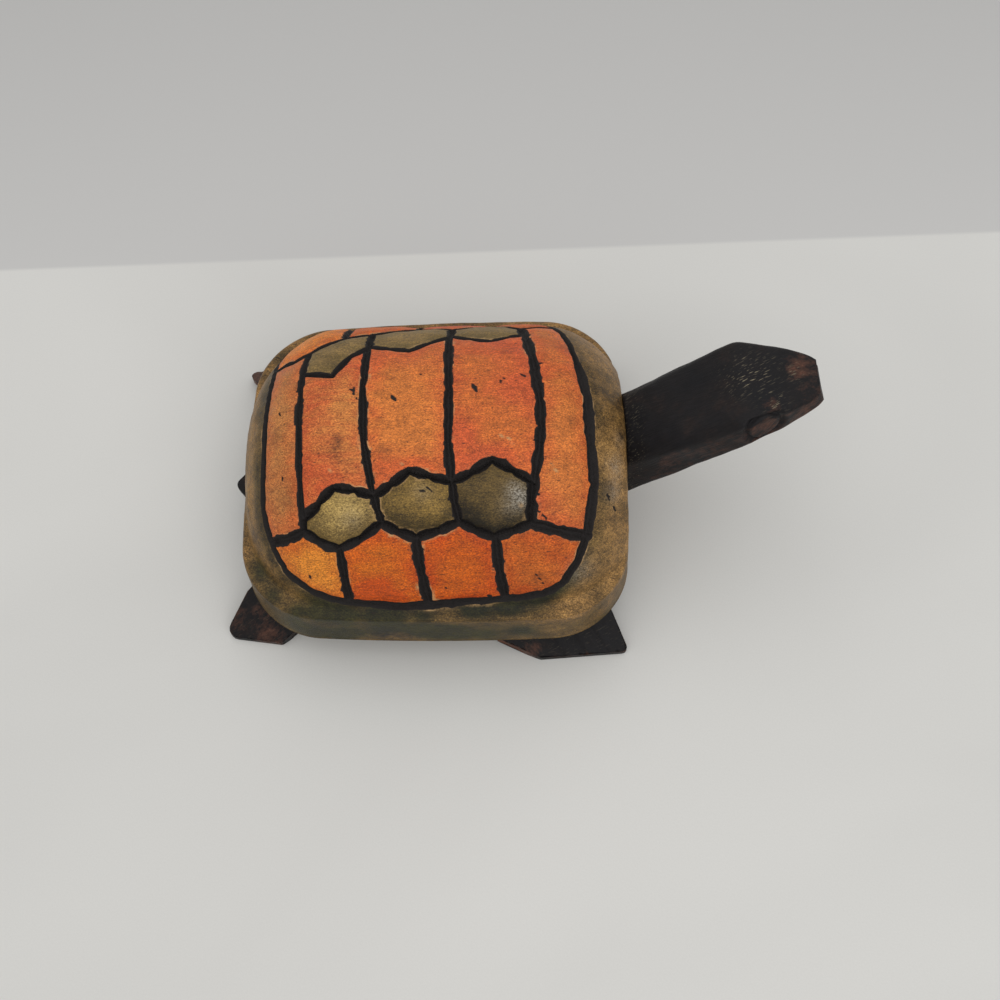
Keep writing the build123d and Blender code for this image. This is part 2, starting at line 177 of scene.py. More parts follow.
GREEN_SPOTS = [
    (-57.5, -62, 4, 0.5), (-56.6, -65.7, 4.5, 0.9), (-52, -69, 4.5, 1), (-44, -71, 4.5, 1),
    (-36, -72, 4.5, 1), (-28, -73, 4.5, 0.9), (-20, -74, 4.5, 0.7), (-12, -73, 4, 0.6),
    (-3.5, -73, 4, 0.5), (12, -71, 3.6, 0.7), (24.5, -70, 3.6, 0.8), (33, -66.5, 3.6, 0.8),
    (37.5, -63, 3.4, 0.7), (43, -57, 3, 0.6), (52, 0, 3.5, 0.25), (-40, -84, 6, 0.8), (-30, -84, 6, 0.8),
    (-50, -80, 6, 0.6), (-16, -80, 5, 0.6), (-56, -20, 5, 0.3), (-5, -82, 6, 0.9), (6, -82, 6, 0.9),
    (17, -82, 6, 0.8), (28, -82, 5, 0.5),
]
# The first three lie on the third hexagon and are a painted highlight in the dust colour; the others are pale
# dust
DUST_AND_HIGHLIGHT_SPOTS = [
    (28.5, -30.5, 3.2, 0.9), (26, -27.5, 2.5, 0.5), (24.5, -33, 3, 0.3), (58.5, -20, 4, 0.5),
    (57.5, -30, 3.5, 0.4), (60, -8, 3, 0.3), (46.5, -58, 5, 0.3), (-24, -36, 3.5, 0.25), (-2, -28, 3, 0.2),
]
WEAR_SPOTS = [
    (-6, 4, 11, 0.55), (-10, -6, 8, 0.3), (-24.5, 0, 6, 0.55), (-23, -12, 6, 0.45), (20, -9, 7, 0.45),
    (9, 5, 5, 0.3), (43, -4, 8, 0.5), (40, -24, 9, 0.55), (45, -34, 5, 0.3), (-46, 0, 12, 0.2),
    (18, 18, 6, 0.2), (28, 8, 5, -0.9), (31, 20, 5, -0.6), (12.5, -10, 5, -0.9), (14, -18, 6, -0.8),
    (25, -16, 4, -0.5), (-12, 22, 6, -0.9), (-4, 26, 5, -0.8), (-14, 12, 4, -0.4), (-12, -22, 5, -0.9),
    (-2, -21, 4, -0.7), (-5, -14, 4, -0.2), (-33, -20, 7, -0.7), (-36, 0, 4, -0.4), (-17.5, -62, 5, -1.6),
    (-11, -65, 3, -1.2), (-26, -60, 4, 0.4), (-6, -56, 5, -0.3), (28, -64, 3, -1.2), (38, -50, 4, -0.5),
    (41, 22, 6, -0.4), (-41, -37, 4, -0.5), (8, -54, 6, 0.3), (-17, -52, 5, 0.3), (-35, -52, 5, 0.4),
    (24, 25, 7, -0.8), (14, 26, 5, -0.5), (-32, 4, 5, -0.4), (0, -8, 4, 0.4), (-9, 10, 5, 0.3),
    (-50, 20, 6, -0.2), (14, -36, 6, -0.4), (-26, -36, 7, 0.5), (0.5, -30, 5, 0.3), (56, -14, 6, 0.9),
    (57, -24, 5, 0.8), (52, -50, 7, 0.6), (44, -66, 7, 0.4), (-56, 0, 9, 0.3), (56, 10, 6, -0.5),
]

# The outer line's half length in mm and half width in degrees
OUTER_SIZE = (52, 71)

# Plates: name, fresh stain, worn stain
PLATE_STAINS = {
    "rear_strip": ("#b95e2a", "#b6753c"),
    "plate_1": ("#bf5428", "#c67b3a"),
    "plate_2": ("#c65c29", "#cb7330"),
    "plate_3": ("#c5562a", "#c5672a"),
    "front_strip": ("#c25626", "#c36d2e"),
    # The hexagons' fresh stains are also the colour of the painted shade on their lower sides
    "hexagon_1": ("#705a2e", "#ab8e50"),
    "hexagon_2": ("#463717", "#846830"),
    "hexagon_3": ("#201908", "#5f4b24"),
    "far_hexagon": ("#6a562c", "#8c7040"),
    "margin_1": ("#c8641a", "#d68228"),
    "margin_2": ("#bb4908", "#c86612"),
    "margin_3": ("#b23e06", "#c25a0d"),
    "margin_4": ("#b34a0e", "#bd601d"),
    "brim": ("#4b3817", "#8e6b3c"),
    "brim_green": ("#17190a", "#353114"),
}

# The neck and head: lower point, upper point (length, height) and half width, in mm
NECK_SECTIONS = [
    ((62.2, 11.0), (62.2, 37.7), 14.0),
    ((100.0, 52.0), (94.8, 62.0), 16.6),
    ((108.5, 52.6), (108.5, 64.0), 12.5),
    ((118.9, 58.9), (116.9, 64.7), 7.9),
    ((120.3, 59.6), (118.3, 64.7), 6.2),
]
# How far left the neck stands, its width on top as a share of that below, its bevelled edges as a share of
# its height, how far in the last cells of its two ends lie, and the way its grain runs
NECK_SIDE = 3.0
NECK_TOP_SHARE = 0.94
NECK_BEVEL_SHARE = 0.17
NECK_END_INSET = 0.35
NECK_GRAIN = (32, 0, 32)
# Rings from one section to the next, and cells round a ring: underside, flank, bevel, top, bevel, flank
NECK_STEPS = (44, 12, 12, 3)
NECK_CELLS = (20, 14, 5, 16, 5, 14)
# The eyes: place, half sizes, direction, how much shorter the slanting cheek makes them from the side, the
# ring cut round them, how much lower the left one is, and how near to them and how far out cells are split
EYE_PLACE = (101.9, 58.0)
EYE_HALF_LENGTH, EYE_HALF_HEIGHT = 5.2, 4.3
EYE_FORWARD = (0.99, 0.12)
CHEEK_SLANT = 0.94
EYE_RING_REACH, EYE_RING_WIDTH, EYE_RING_DEPTH = 1.17, 0.19, 1.1
EYE_DROP = 3.0
EYE_SPLIT, FLANK_SPLIT = 8.5, 7

# The right flippers in plan: outline from the root round to the tip, in mm from the middle of the block.
# Each flipper has its outline, side (1 right), end (1 front) and how much further out it is glued on
FRONT_FLIPPER = [(48.1, -24.15), (22.1, -24.15), (19.5, -54.05), (34.1, -60.09), (64.16, -58.31)]
REAR_FLIPPER = [
    (-29.9, -36.2), (-27.95, -24.15), (-50.05, -24.15), (-65.5, -36.97), (-73.97, -50.03), (-54.08, -53.02),
]
FLIPPERS = {
    "leg_front_right": (FRONT_FLIPPER, 1, 1, 0.0),
    "leg_front_left": (FRONT_FLIPPER, -1, 1, 0.0),
    "leg_rear_right": (REAR_FLIPPER, 1, -1, 0.0),
    "leg_rear_left": (REAR_FLIPPER, -1, -1, 5.0),
}
# A flipper slopes down to its foot, which has a lower edge, and its root under the block is thicker
SLOPE = math.radians(30)
FLIPPER_THICKNESS = 3.0
FLIPPER_EDGE = 2.2
FLIPPER_ROOT = 7.0
TIP_RADII = [3.0, 1.6]
# The cuts in its upper face, which fan out from its tip
TOES = 3
TOE_LENGTH, TOE_HALF_WIDTH, TOE_DEPTH = 16, 1.0, 0.6
TOE_TURN = math.radians(34)
# The size of its cells and the rounding of its edges
FLIPPER_CELL, FLIPPER_ROUNDING = 0.75, 0.35

# The tail in plan from its point, and its heights at the root and at the point
TAIL = [(-72.0, 2.0), (-64.0, -7.0), (-47.0, -7.0), (-47.0, 11.0), (-64.0, 11.0)]
TAIL_RADII = (2.5, 0, 0, 0, 0)
TAIL_THICKNESS, TAIL_EDGE, TAIL_POINT = 4.5, 1.8, 8.0
TAIL_CELL, TAIL_ROUNDING = 0.8, 0.3

# The lamps: name, place and size in metres
LAMPS = (("key_lamp", (0.25, -0.55, 0.60), 0.5), ("top_lamp", (-0.08, 0.15, 0.93), 1.1))
TABLE_SIZE = 3.0

# The camera: frame in pixels, sensor in mm, angles in degrees, distance in mm, and in pixels its focal
# length and the block's place
FRAME_SIZE = 1000
SENSOR = 36.0
CAMERA_DOWN, CAMERA_ROLL, CAMERA_TURN = 64.9, -2.2, 1.1
CAMERA_DISTANCE = 404.0
CAMERA_FOCAL = 1150.0
CAMERA_CENTRE = (439.0, 485.0)


# Colours and nodes
def linear(code):
    """An sRGB hex colour as linear RGBA."""
    parts = [int(code[at : at + 2], 16) / 255 for at in (1, 3, 5)]
    return [((c + 0.055) / 1.055) ** 2.4 if c > 0.04045 else c / 12.92 for c in parts] + [1.0]


def add_node(tree, kind, inputs=None, stops=None, **settings):
    """Adds a node with its settings, its colour stops, and values or links for its inputs."""
    made = tree.nodes.new(kind)
    for key, value in settings.items():
        setattr(made, key, value)
    for key, value in (inputs or {}).items():
        if isinstance(value, bpy.types.NodeSocket):
            tree.links.new(value, made.inputs[key])
        else:
            made.inputs[key].default_value = value
    if stops:
        elements = made.color_ramp.elements
        while len(elements) < len(stops):
            elements.new(0.5)
        for element, (place, colour) in zip(elements, stops):
            element.position = place
            element.color = colour
    return made


def new_material(name):
    """An empty material and its tree."""
    made = bpy.data.materials.new(name)
    made.use_nodes = True
    tree = made.node_tree
    tree.nodes.clear()
    return made, tree


def finish_material(tree, inputs):
    """Ends a material in a shader with these inputs."""
    shader = add_node(tree, "ShaderNodeBsdfPrincipled", inputs)
    add_node(tree, "ShaderNodeOutputMaterial", {"Surface": shader.outputs[0]})


# Meshes
def tube(rings, closed=False):
    """A skin over rings of places in mm, with faces over its ends if closed. With it come its end corners."""
    bm = bmesh.new()
    mark = bm.verts.layers.int.new("station")
    first = bmesh.ops.create_circle(bm, segments=len(rings[0]), radius=1)["verts"]
    for station, vertex in enumerate(first):
        vertex[mark] = station
        vertex.co = rings[0][station]
    loop = bm.edges[:]
    if closed:
        bmesh.ops.contextual_create(bm, geom=loop)
    for ring in rings[1:]:
        made = bmesh.ops.extrude_edge_only(bm, edges=loop)["geom"]
        loop = [item for item in made if isinstance(item, bmesh.types.BMEdge)]
        last = [item for item in made if isinstance(item, bmesh.types.BMVert)]
        for vertex in last:
            vertex.co = ring[vertex[mark]]
    if closed:
        bmesh.ops.contextual_create(bm, geom=loop)
    return bm, list(first) + last


def new_piece(name, bm, material, node):
    """Makes an object of a bmesh in mm, in the place of a CAD node."""
    bmesh.ops.scale(bm, vec=(MM, MM, MM), verts=bm.verts)
    bmesh.ops.translate(bm, vec=(MIDDLE * MM, 0, STANCE * MM), verts=bm.verts)
    mesh = bpy.data.meshes.new(name)
    bm.to_mesh(mesh)
    bm.free()
    mesh.materials.append(material)
    mesh.shade_smooth()
    piece = bpy.data.objects.new(name, mesh)
    bpy.context.scene.collection.objects.link(piece)
    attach(piece, "root")
    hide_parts(node)
    return piece


def places_of(mesh):
    """The vertices of a mesh, in mm from the middle of the underside."""
    flat = np.zeros(len(mesh.vertices) * 3)
    mesh.vertices.foreach_get("co", flat)
    return flat.reshape(-1, 3) / MM - np.array([MIDDLE, 0, STANCE])


def put_places(mesh, places):
    """Moves the vertices of a mesh to places in mm."""
    mesh.vertices.foreach_set("co", ((places + np.array([MIDDLE, 0, STANCE])) * MM).ravel())
    mesh.update()


def normals_of(mesh):
    """The outward directions at the vertices of a mesh."""
    flat = np.zeros(len(mesh.vertices) * 3)
    mesh.vertex_normals.foreach_get("vector", flat)
    return flat.reshape(-1, 3)


def put_value(mesh, name, values):
    """Stores one value for each vertex."""
    made = mesh.attributes.new(name, "FLOAT", "POINT")
    made.data.foreach_set("value", np.asarray(values, dtype=np.float32))


def put_colours(mesh, name, colours):
    """Stores one linear colour for each vertex."""
    made = mesh.attributes.new(name, "FLOAT_COLOR", "POINT")
    made.data.foreach_set("color", np.asarray(colours, dtype=np.float32).ravel())


def waves(places, length, seed):
    """A smooth uneven field between about -1 and 1, with waves of about this length."""
    draw = np.random.default_rng(seed)
    total = np.zeros(len(places))
    for _ in range(7):
        way = draw.normal(size=3)
        way /= np.linalg.norm(way)
        turns = places @ way * (2 * math.pi / (length * draw.uniform(0.7, 1.5)))
        total += np.sin(turns + draw.uniform(0, 2 * math.pi))
    return total / 3.2


def ease(values, low, high):
    """0 below low, 1 above high and smooth between."""
    share = np.clip((values - low) / (high - low), 0, 1)
    return share * share * (3 - 2 * share)


# The form of the shell
def outline_gap(x, y):
    """How far a place on the plan is outside the block's rounded outline."""
    half_x = HALF_LENGTH - SIDE_BULGE * (y / (HALF_WIDTH - SIDE_BULGE)) ** 2
    reach = x / (HALF_LENGTH - SIDE_BULGE)
    half_y = HALF_WIDTH - SIDE_BULGE * reach**2 + FRONT_FLARE * reach
    over_x = np.abs(x) - half_x + CORNER_RADIUS
    over_y = np.abs(y) - half_y + CORNER_RADIUS
    outside = np.hypot(np.maximum(over_x, 0), np.maximum(over_y, 0))
    return outside + np.minimum(np.maximum(over_x, over_y), 0) - CORNER_RADIUS


def outline_stations(count):
    """Points evenly spaced round the block's outline, with their outward directions, alike on both sides."""
    turns = np.linspace(0, math.pi, 2001)
    low, high = np.full_like(turns, 30.0), np.full_like(turns, 100.0)
    for _ in range(40):
        reach = (low + high) / 2
        inside = outline_gap(reach * np.cos(turns), reach * np.sin(turns)) < 0
        low, high = np.where(inside, reach, low), np.where(inside, high, reach)
    x, y = low * np.cos(turns), low * np.sin(turns)
    run = np.concatenate([[0], np.cumsum(np.hypot(np.diff(x), np.diff(y)))])
    marks = np.linspace(0, run[-1], count // 2 + 1)
    x, y = np.interp(marks, run, x), np.interp(marks, run, y)
    x, y = np.concatenate([x, x[-2:0:-1]]), np.concatenate([y, -y[-2:0:-1]])
    step = 0.01
    out_x = (outline_gap(x + step, y) - outline_gap(x - step, y)) / (2 * step)
    out_y = (outline_gap(x, y + step) - outline_gap(x, y - step)) / (2 * step)
    length = np.hypot(out_x, out_y)
    return np.stack([x, y], 1), np.stack([out_x / length, out_y / length], 1)


def barrel_reach(along):
    """The barrel's radius at a length along the back."""
    past = np.maximum(along - BARREL_FRONT + SHOULDER_RADIUS, 0)
    past = past + np.minimum(along + BARREL_REAR - SHOULDER_RADIUS, 0)
    return BARREL_RADIUS - SHOULDER_RADIUS + np.sqrt(np.maximum(SHOULDER_RADIUS**2 - past**2, 0))


def top_height(x, y):
    """The height of the uncarved shell over the plan."""
    reach = barrel_reach(x)
    back = np.sqrt(np.maximum(reach**2 - y**2, 0))
    back = np.where((x > -BARREL_REAR) & (x < BARREL_FRONT), back, 0)
    return np.maximum(back, BRIM_HEIGHT)


def evenly(points, count):
    """A line through points, drawn again with evenly spaced ones."""
    run = np.concatenate([[0], np.cumsum(np.linalg.norm(np.diff(points, axis=0), axis=1))])
    marks = np.linspace(0, run[-1], count + 1)
    return np.stack([np.interp(marks, run, points[:, axis]) for axis in range(3)], 1)


def soften(points, width):
    """Rounds the corners of a finely drawn line, and keeps its ends."""
    for _ in range(2):
        ends = np.concatenate([np.repeat(points[:1], width, 0), points, np.repeat(points[-1:], width, 0)])
        run = np.cumsum(ends, axis=0)
        before = np.concatenate([np.zeros((1, 3)), run[: -2 * width - 1]])
        middle = (run[2 * width :] - before) / (2 * width + 1)
        points = np.concatenate([points[:1], middle[1:-1], points[-1:]])
    return points


def shell_meridian(edge, outward):
    """One line over the shell, from its spine over the back and the brim, down the wall and back under it."""
    spine = np.array([np.clip(edge[0], SPINE_REAR, SPINE_FRONT), 0.0])
    top = BRIM_HEIGHT
    for _ in range(6):
        rim = edge - outward * top * WALL_LEAN
        top = float(top_height(rim[0], rim[1]))
    share = np.linspace(0, 1, 600)[:, None]
    plan = spine + (rim - spine) * share
    over = np.column_stack([plan, top_height(plan[:, 0], plan[:, 1])])
    heights = np.linspace(top, 0, 120)[1:, None]
    wall = np.column_stack([edge - outward * heights * WALL_LEAN, heights])
    length = np.linalg.norm(np.diff(over, axis=0), axis=1).sum() + top
    line = evenly(np.concatenate([over, wall]), int(np.ceil(length / FINE_STEP)))
    line = soften(line, 5)
    corner = int(np.argmin(np.linalg.norm(line - over[-1], axis=1)))
    first = evenly(line[: corner + 1], TOP_RINGS)
    second = evenly(line[corner:], WALL_RINGS)
    second[-1, 2] += FOOT_BEVEL
    foot, centre = line[-1], np.array([spine[0], 0.0, 0.0])
    shares = [0.012] + [step / UNDER_RINGS for step in range(1, UNDER_RINGS + 1)]
    return np.concatenate([first, second[1:], [foot + (centre - foot) * share for share in shares]])


def shell_blank():
    """The uncarved shell as one closed skin of even cells."""
    edges, outwards = outline_stations(STATIONS)
    lines = [shell_meridian(edge, outward) for edge, outward in zip(edges, outwards)]
    bm, ends = tube(np.stack(lines, axis=1))
    bmesh.ops.remove_doubles(bm, verts=ends, dist=0.01)
    bmesh.ops.recalc_face_normals(bm, faces=bm.faces)
    return bm


# Knife strokes on the shell
def on_shell(along, angle):
    """A point of the uncarved shell, on the back or on the brim beside it."""
    turn = np.radians(angle)
    brim = BRIM_HEIGHT / np.cos(np.minimum(np.abs(turn), 1.25))
    reach = np.maximum(barrel_reach(np.asarray(along, dtype=float)), brim)
    return np.stack([along, reach * np.sin(turn), reach * np.cos(turn)], -1)


def stroke_steps(line, width, draw, wobble, leaf):
    """A carved line as short steps: start, end and half widths there. Strokes swell by the leaf share."""
    places, widths = [], []
    for start, end in zip(line, line[1:]):
        start, end = np.array(start, dtype=float), np.array(end, dtype=float)
        count = max(2, int(np.ceil(np.linalg.norm(on_shell(*end) - on_shell(*start)) / KNIFE_STEP)))
        for share in np.arange(count) / count:
            places.append(start + (end - start) * share + draw.normal(size=2) * wobble)
            swell = 1 - leaf / 2 + leaf * math.sin(math.pi * share)
            widths.append(width * swell * draw.uniform(0.92, 1.08))
    places.append(np.array(line[-1], dtype=float))
    widths.append(width * (1 - leaf / 2))
    places, halves = on_shell(*np.array(places).T), np.array(widths) / 2
    return list(zip(places, places[1:], halves, halves[1:]))


def shell_strokes(width, wobble):
    """All the carved lines of the shell as steps."""
    draw = np.random.default_rng(11)
    lines = (stroke_steps(line, width * share, draw, wobble, leaf) for line, share, leaf in LINES)
    return [step for line in lines for step in line]


def mark_strokes(marks):
    """Short marks on the shell as steps."""
    draw = np.random.default_rng(12)
    lines = (stroke_steps([start, end], width, draw, 0.15, 0.4) for start, end, width in marks)
    return [step for line in lines for step in line]


def spots_at(places, spots):
    """How strongly soft round spots cover each place."""
    total = np.zeros(len(places))
    for along, angle, radius, amount in spots:
        total += amount * np.exp(-((np.linalg.norm(places - on_shell(along, angle), axis=1) / radius) ** 2))
    return total


def nearest_stroke(places, strokes):
    """How far each place is from the nearest stroke: in half widths of it, and in mm from its edge."""
    starts, ends, half_1, half_2 = (np.array(column) for column in zip(*strokes))
    ways = ends - starts
    lengths = np.maximum((ways**2).sum(1), 1e-9)
    shares, gaps = np.zeros(len(places)), np.zeros(len(places))
    batch = 4000
    for at in range(0, len(places), batch):
        chunk = places[at : at + batch]
        offset = chunk[:, None, :] - starts[None]
        share = np.clip((offset * ways[None]).sum(2) / lengths, 0, 1)
        away = np.linalg.norm(offset - share[:, :, None] * ways[None], axis=2)
        half = half_1 + (half_2 - half_1) * share
        pick = (away - half).argmin(1)
        rows = np.arange(len(chunk))
        shares[at : at + batch] = (away / half)[rows, pick]
        gaps[at : at + batch] = (away - half)[rows, pick]
    return shares, gaps


def plate_of(places):
    """The plate of each place on the shell, and its two stains, fresh and worn."""
    x = places[:, 0]
    angle = np.degrees(np.arctan2(places[:, 1], places[:, 2]))
    names = np.full(len(places), "brim", dtype=object)

    def name_between(mask, ends, plates):
        for name, low, high in zip(plates, [-math.inf, *ends], [*ends, math.inf]):
            names[mask & (x >= low) & (x < high)] = name

    # The outer line is a closed loop round the crest, so it is read by direction and reach
    loop = np.array(OUTER_RIGHT[:-1] + OUTER_NEAR[:-1] + OUTER_REAR[:-1] + OUTER_FAR[:-1]) / OUTER_SIZE
    turns, reach = np.arctan2(loop[:, 1], loop[:, 0]), np.hypot(loop[:, 1], loop[:, 0])
    order = np.argsort(turns)
    across, beside = x / OUTER_SIZE[0], angle / OUTER_SIZE[1]
    limit = np.interp(np.arctan2(beside, across), turns[order], reach[order], period=2 * math.pi)
    inside = np.hypot(beside, across) < 0.99 * limit
    # The long lines go on past their ends, so that they part the end strips too
    near_in, near_out, far_in, far_out = (
        np.interp(x, *np.array([first, *line, last]).T)
        for first, line, last in (
            ((-60, -47), NEAR_INNER, (60, -45)),
            ((-50.6, -47.5), NEAR_OUTER, (49.0, -45.2)),
            ((-60, 17), FAR_INNER, (60, 52)),
            ((-52, 34), FAR_OUTER, (46.6, 52)),
        )
    )
    by_angle = (np.array(sorted((turn, along) for along, turn in line)).T for line in CROSS_LINES)
    cuts = [np.interp(angle, *line) for line in by_angle]
    centre = inside & (angle > near_in) & (angle < far_in)
    name_between(centre, cuts, ("rear_strip", "plate_1", "plate_2", "plate_3", "front_strip"))
    strips = inside & (angle > near_out) & (angle < far_out)
    names[strips & (x < cuts[0])] = "rear_strip"
    names[strips & (x > cuts[3])] = "front_strip"
    near = inside & (angle <= near_in) & (angle > near_out) & (x > cuts[0] - 0.4) & (x < cuts[3] + 0.4)
    name_between(near, (-16, 8), ("hexagon_1", "hexagon_2", "hexagon_3"))
    names[inside & (angle >= far_in) & (angle < far_out) & (x > cuts[0]) & (x < cuts[3])] = "far_hexagon"
    side = inside & ((angle <= near_out) | (angle >= far_out))
    name_between(side, (-27, -2.5, 21.5), ("margin_1", "margin_2", "margin_3", "margin_4"))
    fresh, worn = np.zeros((2, len(places), 4))
    for name, codes in PLATE_STAINS.items():
        for stain, code in zip((fresh, worn), codes):
            stain[names == name] = linear(code)
    return names.astype(str), fresh, worn


# Materials
def computed(tree, kind, first, second):
    """Two values put together by a Math node."""
    return add_node(tree, "ShaderNodeMath", {0: first, 1: second}, operation=kind).outputs[0]


def summed(tree, *terms):
    """A sum of values, each with its weight."""
    total = 0.0
    for value, weight in terms:
        total = computed(tree, "ADD", total, computed(tree, "MULTIPLY", value, weight))
    return total


def spread(tree, value, low, high, to_low=0.0, to_high=1.0):
    """A value spread from one range to another, and held within it."""
    inputs = {"Value": value, "From Min": low, "From Max": high, "To Min": to_low, "To Max": to_high}
    return add_node(tree, "ShaderNodeMapRange", inputs).outputs[0]


def noise_of(tree, place, size, detail=3.0, roughness=0.6, distortion=0.0):
    """Noise with features of this size in mm, one size for each axis."""
    scale = tuple(1 / (length * MM) for length in size)
    laid = add_node(tree, "ShaderNodeMapping", {"Vector": place, "Scale": scale}).outputs[0]
    inputs = {"Vector": laid, "Scale": 1.0, "Detail": detail, "Roughness": roughness}
    return add_node(tree, "ShaderNodeTexNoise", {**inputs, "Distortion": distortion}).outputs["Fac"]


def blended(tree, share, first, second):
    """One colour over another."""
    return add_node(tree, "ShaderNodeMix", {0: share, 6: first, 7: second}, data_type="RGBA").outputs[2]


def toned(tree, colour, *tones):
    """A colour made darker or lighter by values."""
    for tone in tones:
        colour = add_node(tree, "ShaderNodeVectorMath", {0: colour, 3: tone}, operation="SCALE").outputs[0]
    return colour


def stored(tree, name, output="Fac"):
    """What the mesh stores under a name."""
    return add_node(tree, "ShaderNodeAttribute", attribute_name=name).outputs[output]


def object_place(tree):
    """Places in the object's own frame."""
    return add_node(tree, "ShaderNodeTexCoord").outputs["Object"]


def raised(tree, height, strength, distance):
    """Fine relief in the surface, with its distance in mm."""
    inputs = {"Height": height, "Strength": strength, "Distance": distance * MM}
    return add_node(tree, "ShaderNodeBump", inputs).outputs[0]


def shell_wood(settings):
    """Knife-carved basswood, stained by brush and waxed. The stain is patchy and rubbed thin in the middle of
    the plates, the pores are dark, and the cuts are painted black-brown, with lips rubbed to bare wood."""
    made, tree = new_material("waxed_stained_basswood")
    place = object_place(tree)
    blotch = noise_of(tree, place, (15, 13, 13), 5.0, 0.62, 0.5)
    streak = noise_of(tree, place, (24, 2.4, 2.4), 3.0, 0.6, 0.6)
    # Fibres and pores of the wood are 0.1 to 0.2 mm across, too fine to show, so they are drawn coarser
    fibre = noise_of(tree, place, (8, 0.55, 0.55))
    speck = noise_of(tree, place, (0.6, 0.42, 0.42), 3.0, 0.8)
    # Real wear of the stain, and on the hexagons painted shade that darkens their lower sides
    wear = stored(tree, "wear")
    share = spread(tree, summed(tree, (blotch, 1), (streak, 0.5), (speck, 0.8), (wear, 0.42)), 0.9, 1.4)
    colour = blended(tree, share, stored(tree, "fresh_stain", "Color"), stored(tree, "worn_stain", "Color"))
    tones = spread(tree, fibre, 0.28, 0.72, 0.86, 1.14), spread(tree, speck, 0.3, 0.7, 0.42, 1.58)
    colour = toned(tree, colour, *tones)
    # The brim was stained unevenly, in patches
    patch = spread(tree, noise_of(tree, place, (5, 4, 4), 5.0, 0.75, 0.4), 0.36, 0.64, -0.4, 0.4)
    grit = spread(tree, noise_of(tree, place, (0.9, 0.6, 0.6), 2.0, 0.7, 1.5), 0.34, 0.66, -0.42, 0.55)
    uneven = computed(tree, "MULTIPLY", computed(tree, "ADD", patch, grit), stored(tree, "mottle"))
    colour = toned(tree, colour, computed(tree, "ADD", 1.0, uneven))
    # Dust and wax turned pale where they stayed in the pores, and on the third hexagon the same pale colour
    # is a painted highlight
    dust = computed(tree, "MULTIPLY", stored(tree, "dust"), spread(tree, speck, 0.4, 0.62))
    colour = blended(tree, dust, colour, tuple(settings.dust_and_highlight_colour))
    # Open pores, short dashes along the grain
    pore = noise_of(tree, place, (1.5, 0.45, 0.45), 1.5, 0.5, 0.8)
    colour = blended(tree, spread(tree, pore, 0.62, 0.74, 0.0, 0.7), colour, tuple(settings.pore_colour))
    smear = spread(tree, noise_of(tree, place, (2.4, 2, 2), 4.0), 0.3, 0.62)
    smear = computed(tree, "MULTIPLY", stored(tree, "grime"), smear)
    colour = blended(tree, smear, colour, tuple(settings.groove_paint))
    # The rubbed lips break up along the cut
    rub = spread(tree, noise_of(tree, place, (4.5, 4.5, 4.5), 4.0, 0.7), 0.42, 0.6)
    lips = computed(tree, "MULTIPLY", rub, stored(tree, "lip"))
    colour = blended(tree, lips, colour, tuple(settings.bare_wood))
    # Paint with a brushed edge
    edge = computed(tree, "ADD", stored(tree, "paint"), spread(tree, speck, 0.3, 0.7, -0.2, 0.2))
    mask = spread(tree, edge, 0.4, 0.62)
    paint = toned(tree, tuple(settings.groove_paint)[:3], spread(tree, speck, 0.35, 0.72, 0.5, 2.6))
    inputs = {
        "Base Color": blended(tree, mask, colour, paint),
        "Roughness": summed(tree, (spread(tree, speck, 0.3, 0.7, 0.38, 0.6), 1), (mask, 0.25)),
        "Normal": raised(tree, summed(tree, (fibre, 0.6), (speck, 1), (pore, -1)), 0.5, 0.3),
        "IOR": 1.48,
        "Specular IOR Level": 0.3,
        "Coat Weight": 0.04,
        "Coat Roughness": 0.3,
    }
    finish_material(tree, inputs)
    return made


def dark_wood(settings, name, along=(1, 0, 0)):
    """Whittled basswood with a nearly black water stain, rubbed with wax, and brown where handling wore it.
    Its grain runs along the piece. Its fibres are drawn coarser than the real 0.1 mm, which wouldn't show."""
    made, tree = new_material(name)
    place = object_place(tree)
    turn = Vector((1, 0, 0)).rotation_difference(Vector(along).normalized()).inverted().to_euler()
    laid = add_node(tree, "ShaderNodeMapping", {"Vector": place, "Rotation": tuple(turn)}).outputs[0]
    blotch = noise_of(tree, place, (12, 12, 12), 5.0, 0.65)
    fibre = noise_of(tree, laid, (8, 0.5, 0.5))
    rub = noise_of(tree, laid, (6, 2.5, 2.5), 5.0, 0.75)
    stains = [(0.36, settings.dark_stain), (0.56, settings.mid_stain), (0.74, settings.thin_stain)]
    colour = add_node(tree, "ShaderNodeValToRGB", {"Fac": blotch}, stops=stains).outputs[0]
    tones = spread(tree, fibre, 0.3, 0.7, 0.72, 1.3), spread(tree, rub, 0.3, 0.7, 0.85, 1.15)
    colour = toned(tree, colour, *tones)
    worn = spread(tree, computed(tree, "MULTIPLY", stored(tree, "bare"), rub), 0.3, 0.62, 0.0, 0.85)
    brown = toned(tree, tuple(settings.worn_brown)[:3], spread(tree, fibre, 0.3, 0.7, 0.6, 1.25))
    colour = blended(tree, worn, colour, brown)
    # Scratches lie along the top of the head
    level = add_node(tree, "ShaderNodeMapping", {"Vector": place, "Rotation": (0, 0.14, -0.42)}).outputs[0]
    scratch = spread(tree, noise_of(tree, level, (2.4, 0.32, 0.8), 1.5), 0.6, 0.74)
    scratch = computed(tree, "MULTIPLY", scratch, stored(tree, "scuff"))
    colour = blended(tree, scratch, colour, tuple(settings.scratch_pale))
    inputs = {
        "Base Color": colour,
        "Roughness": spread(tree, blotch, 0.3, 0.7, 0.42, 0.6),
        "Normal": raised(tree, computed(tree, "ADD", fibre, rub), 0.45, 0.3),
        "IOR": 1.48,
        "Specular IOR Level": 0.2,
    }
    finish_material(tree, inputs)
    return made


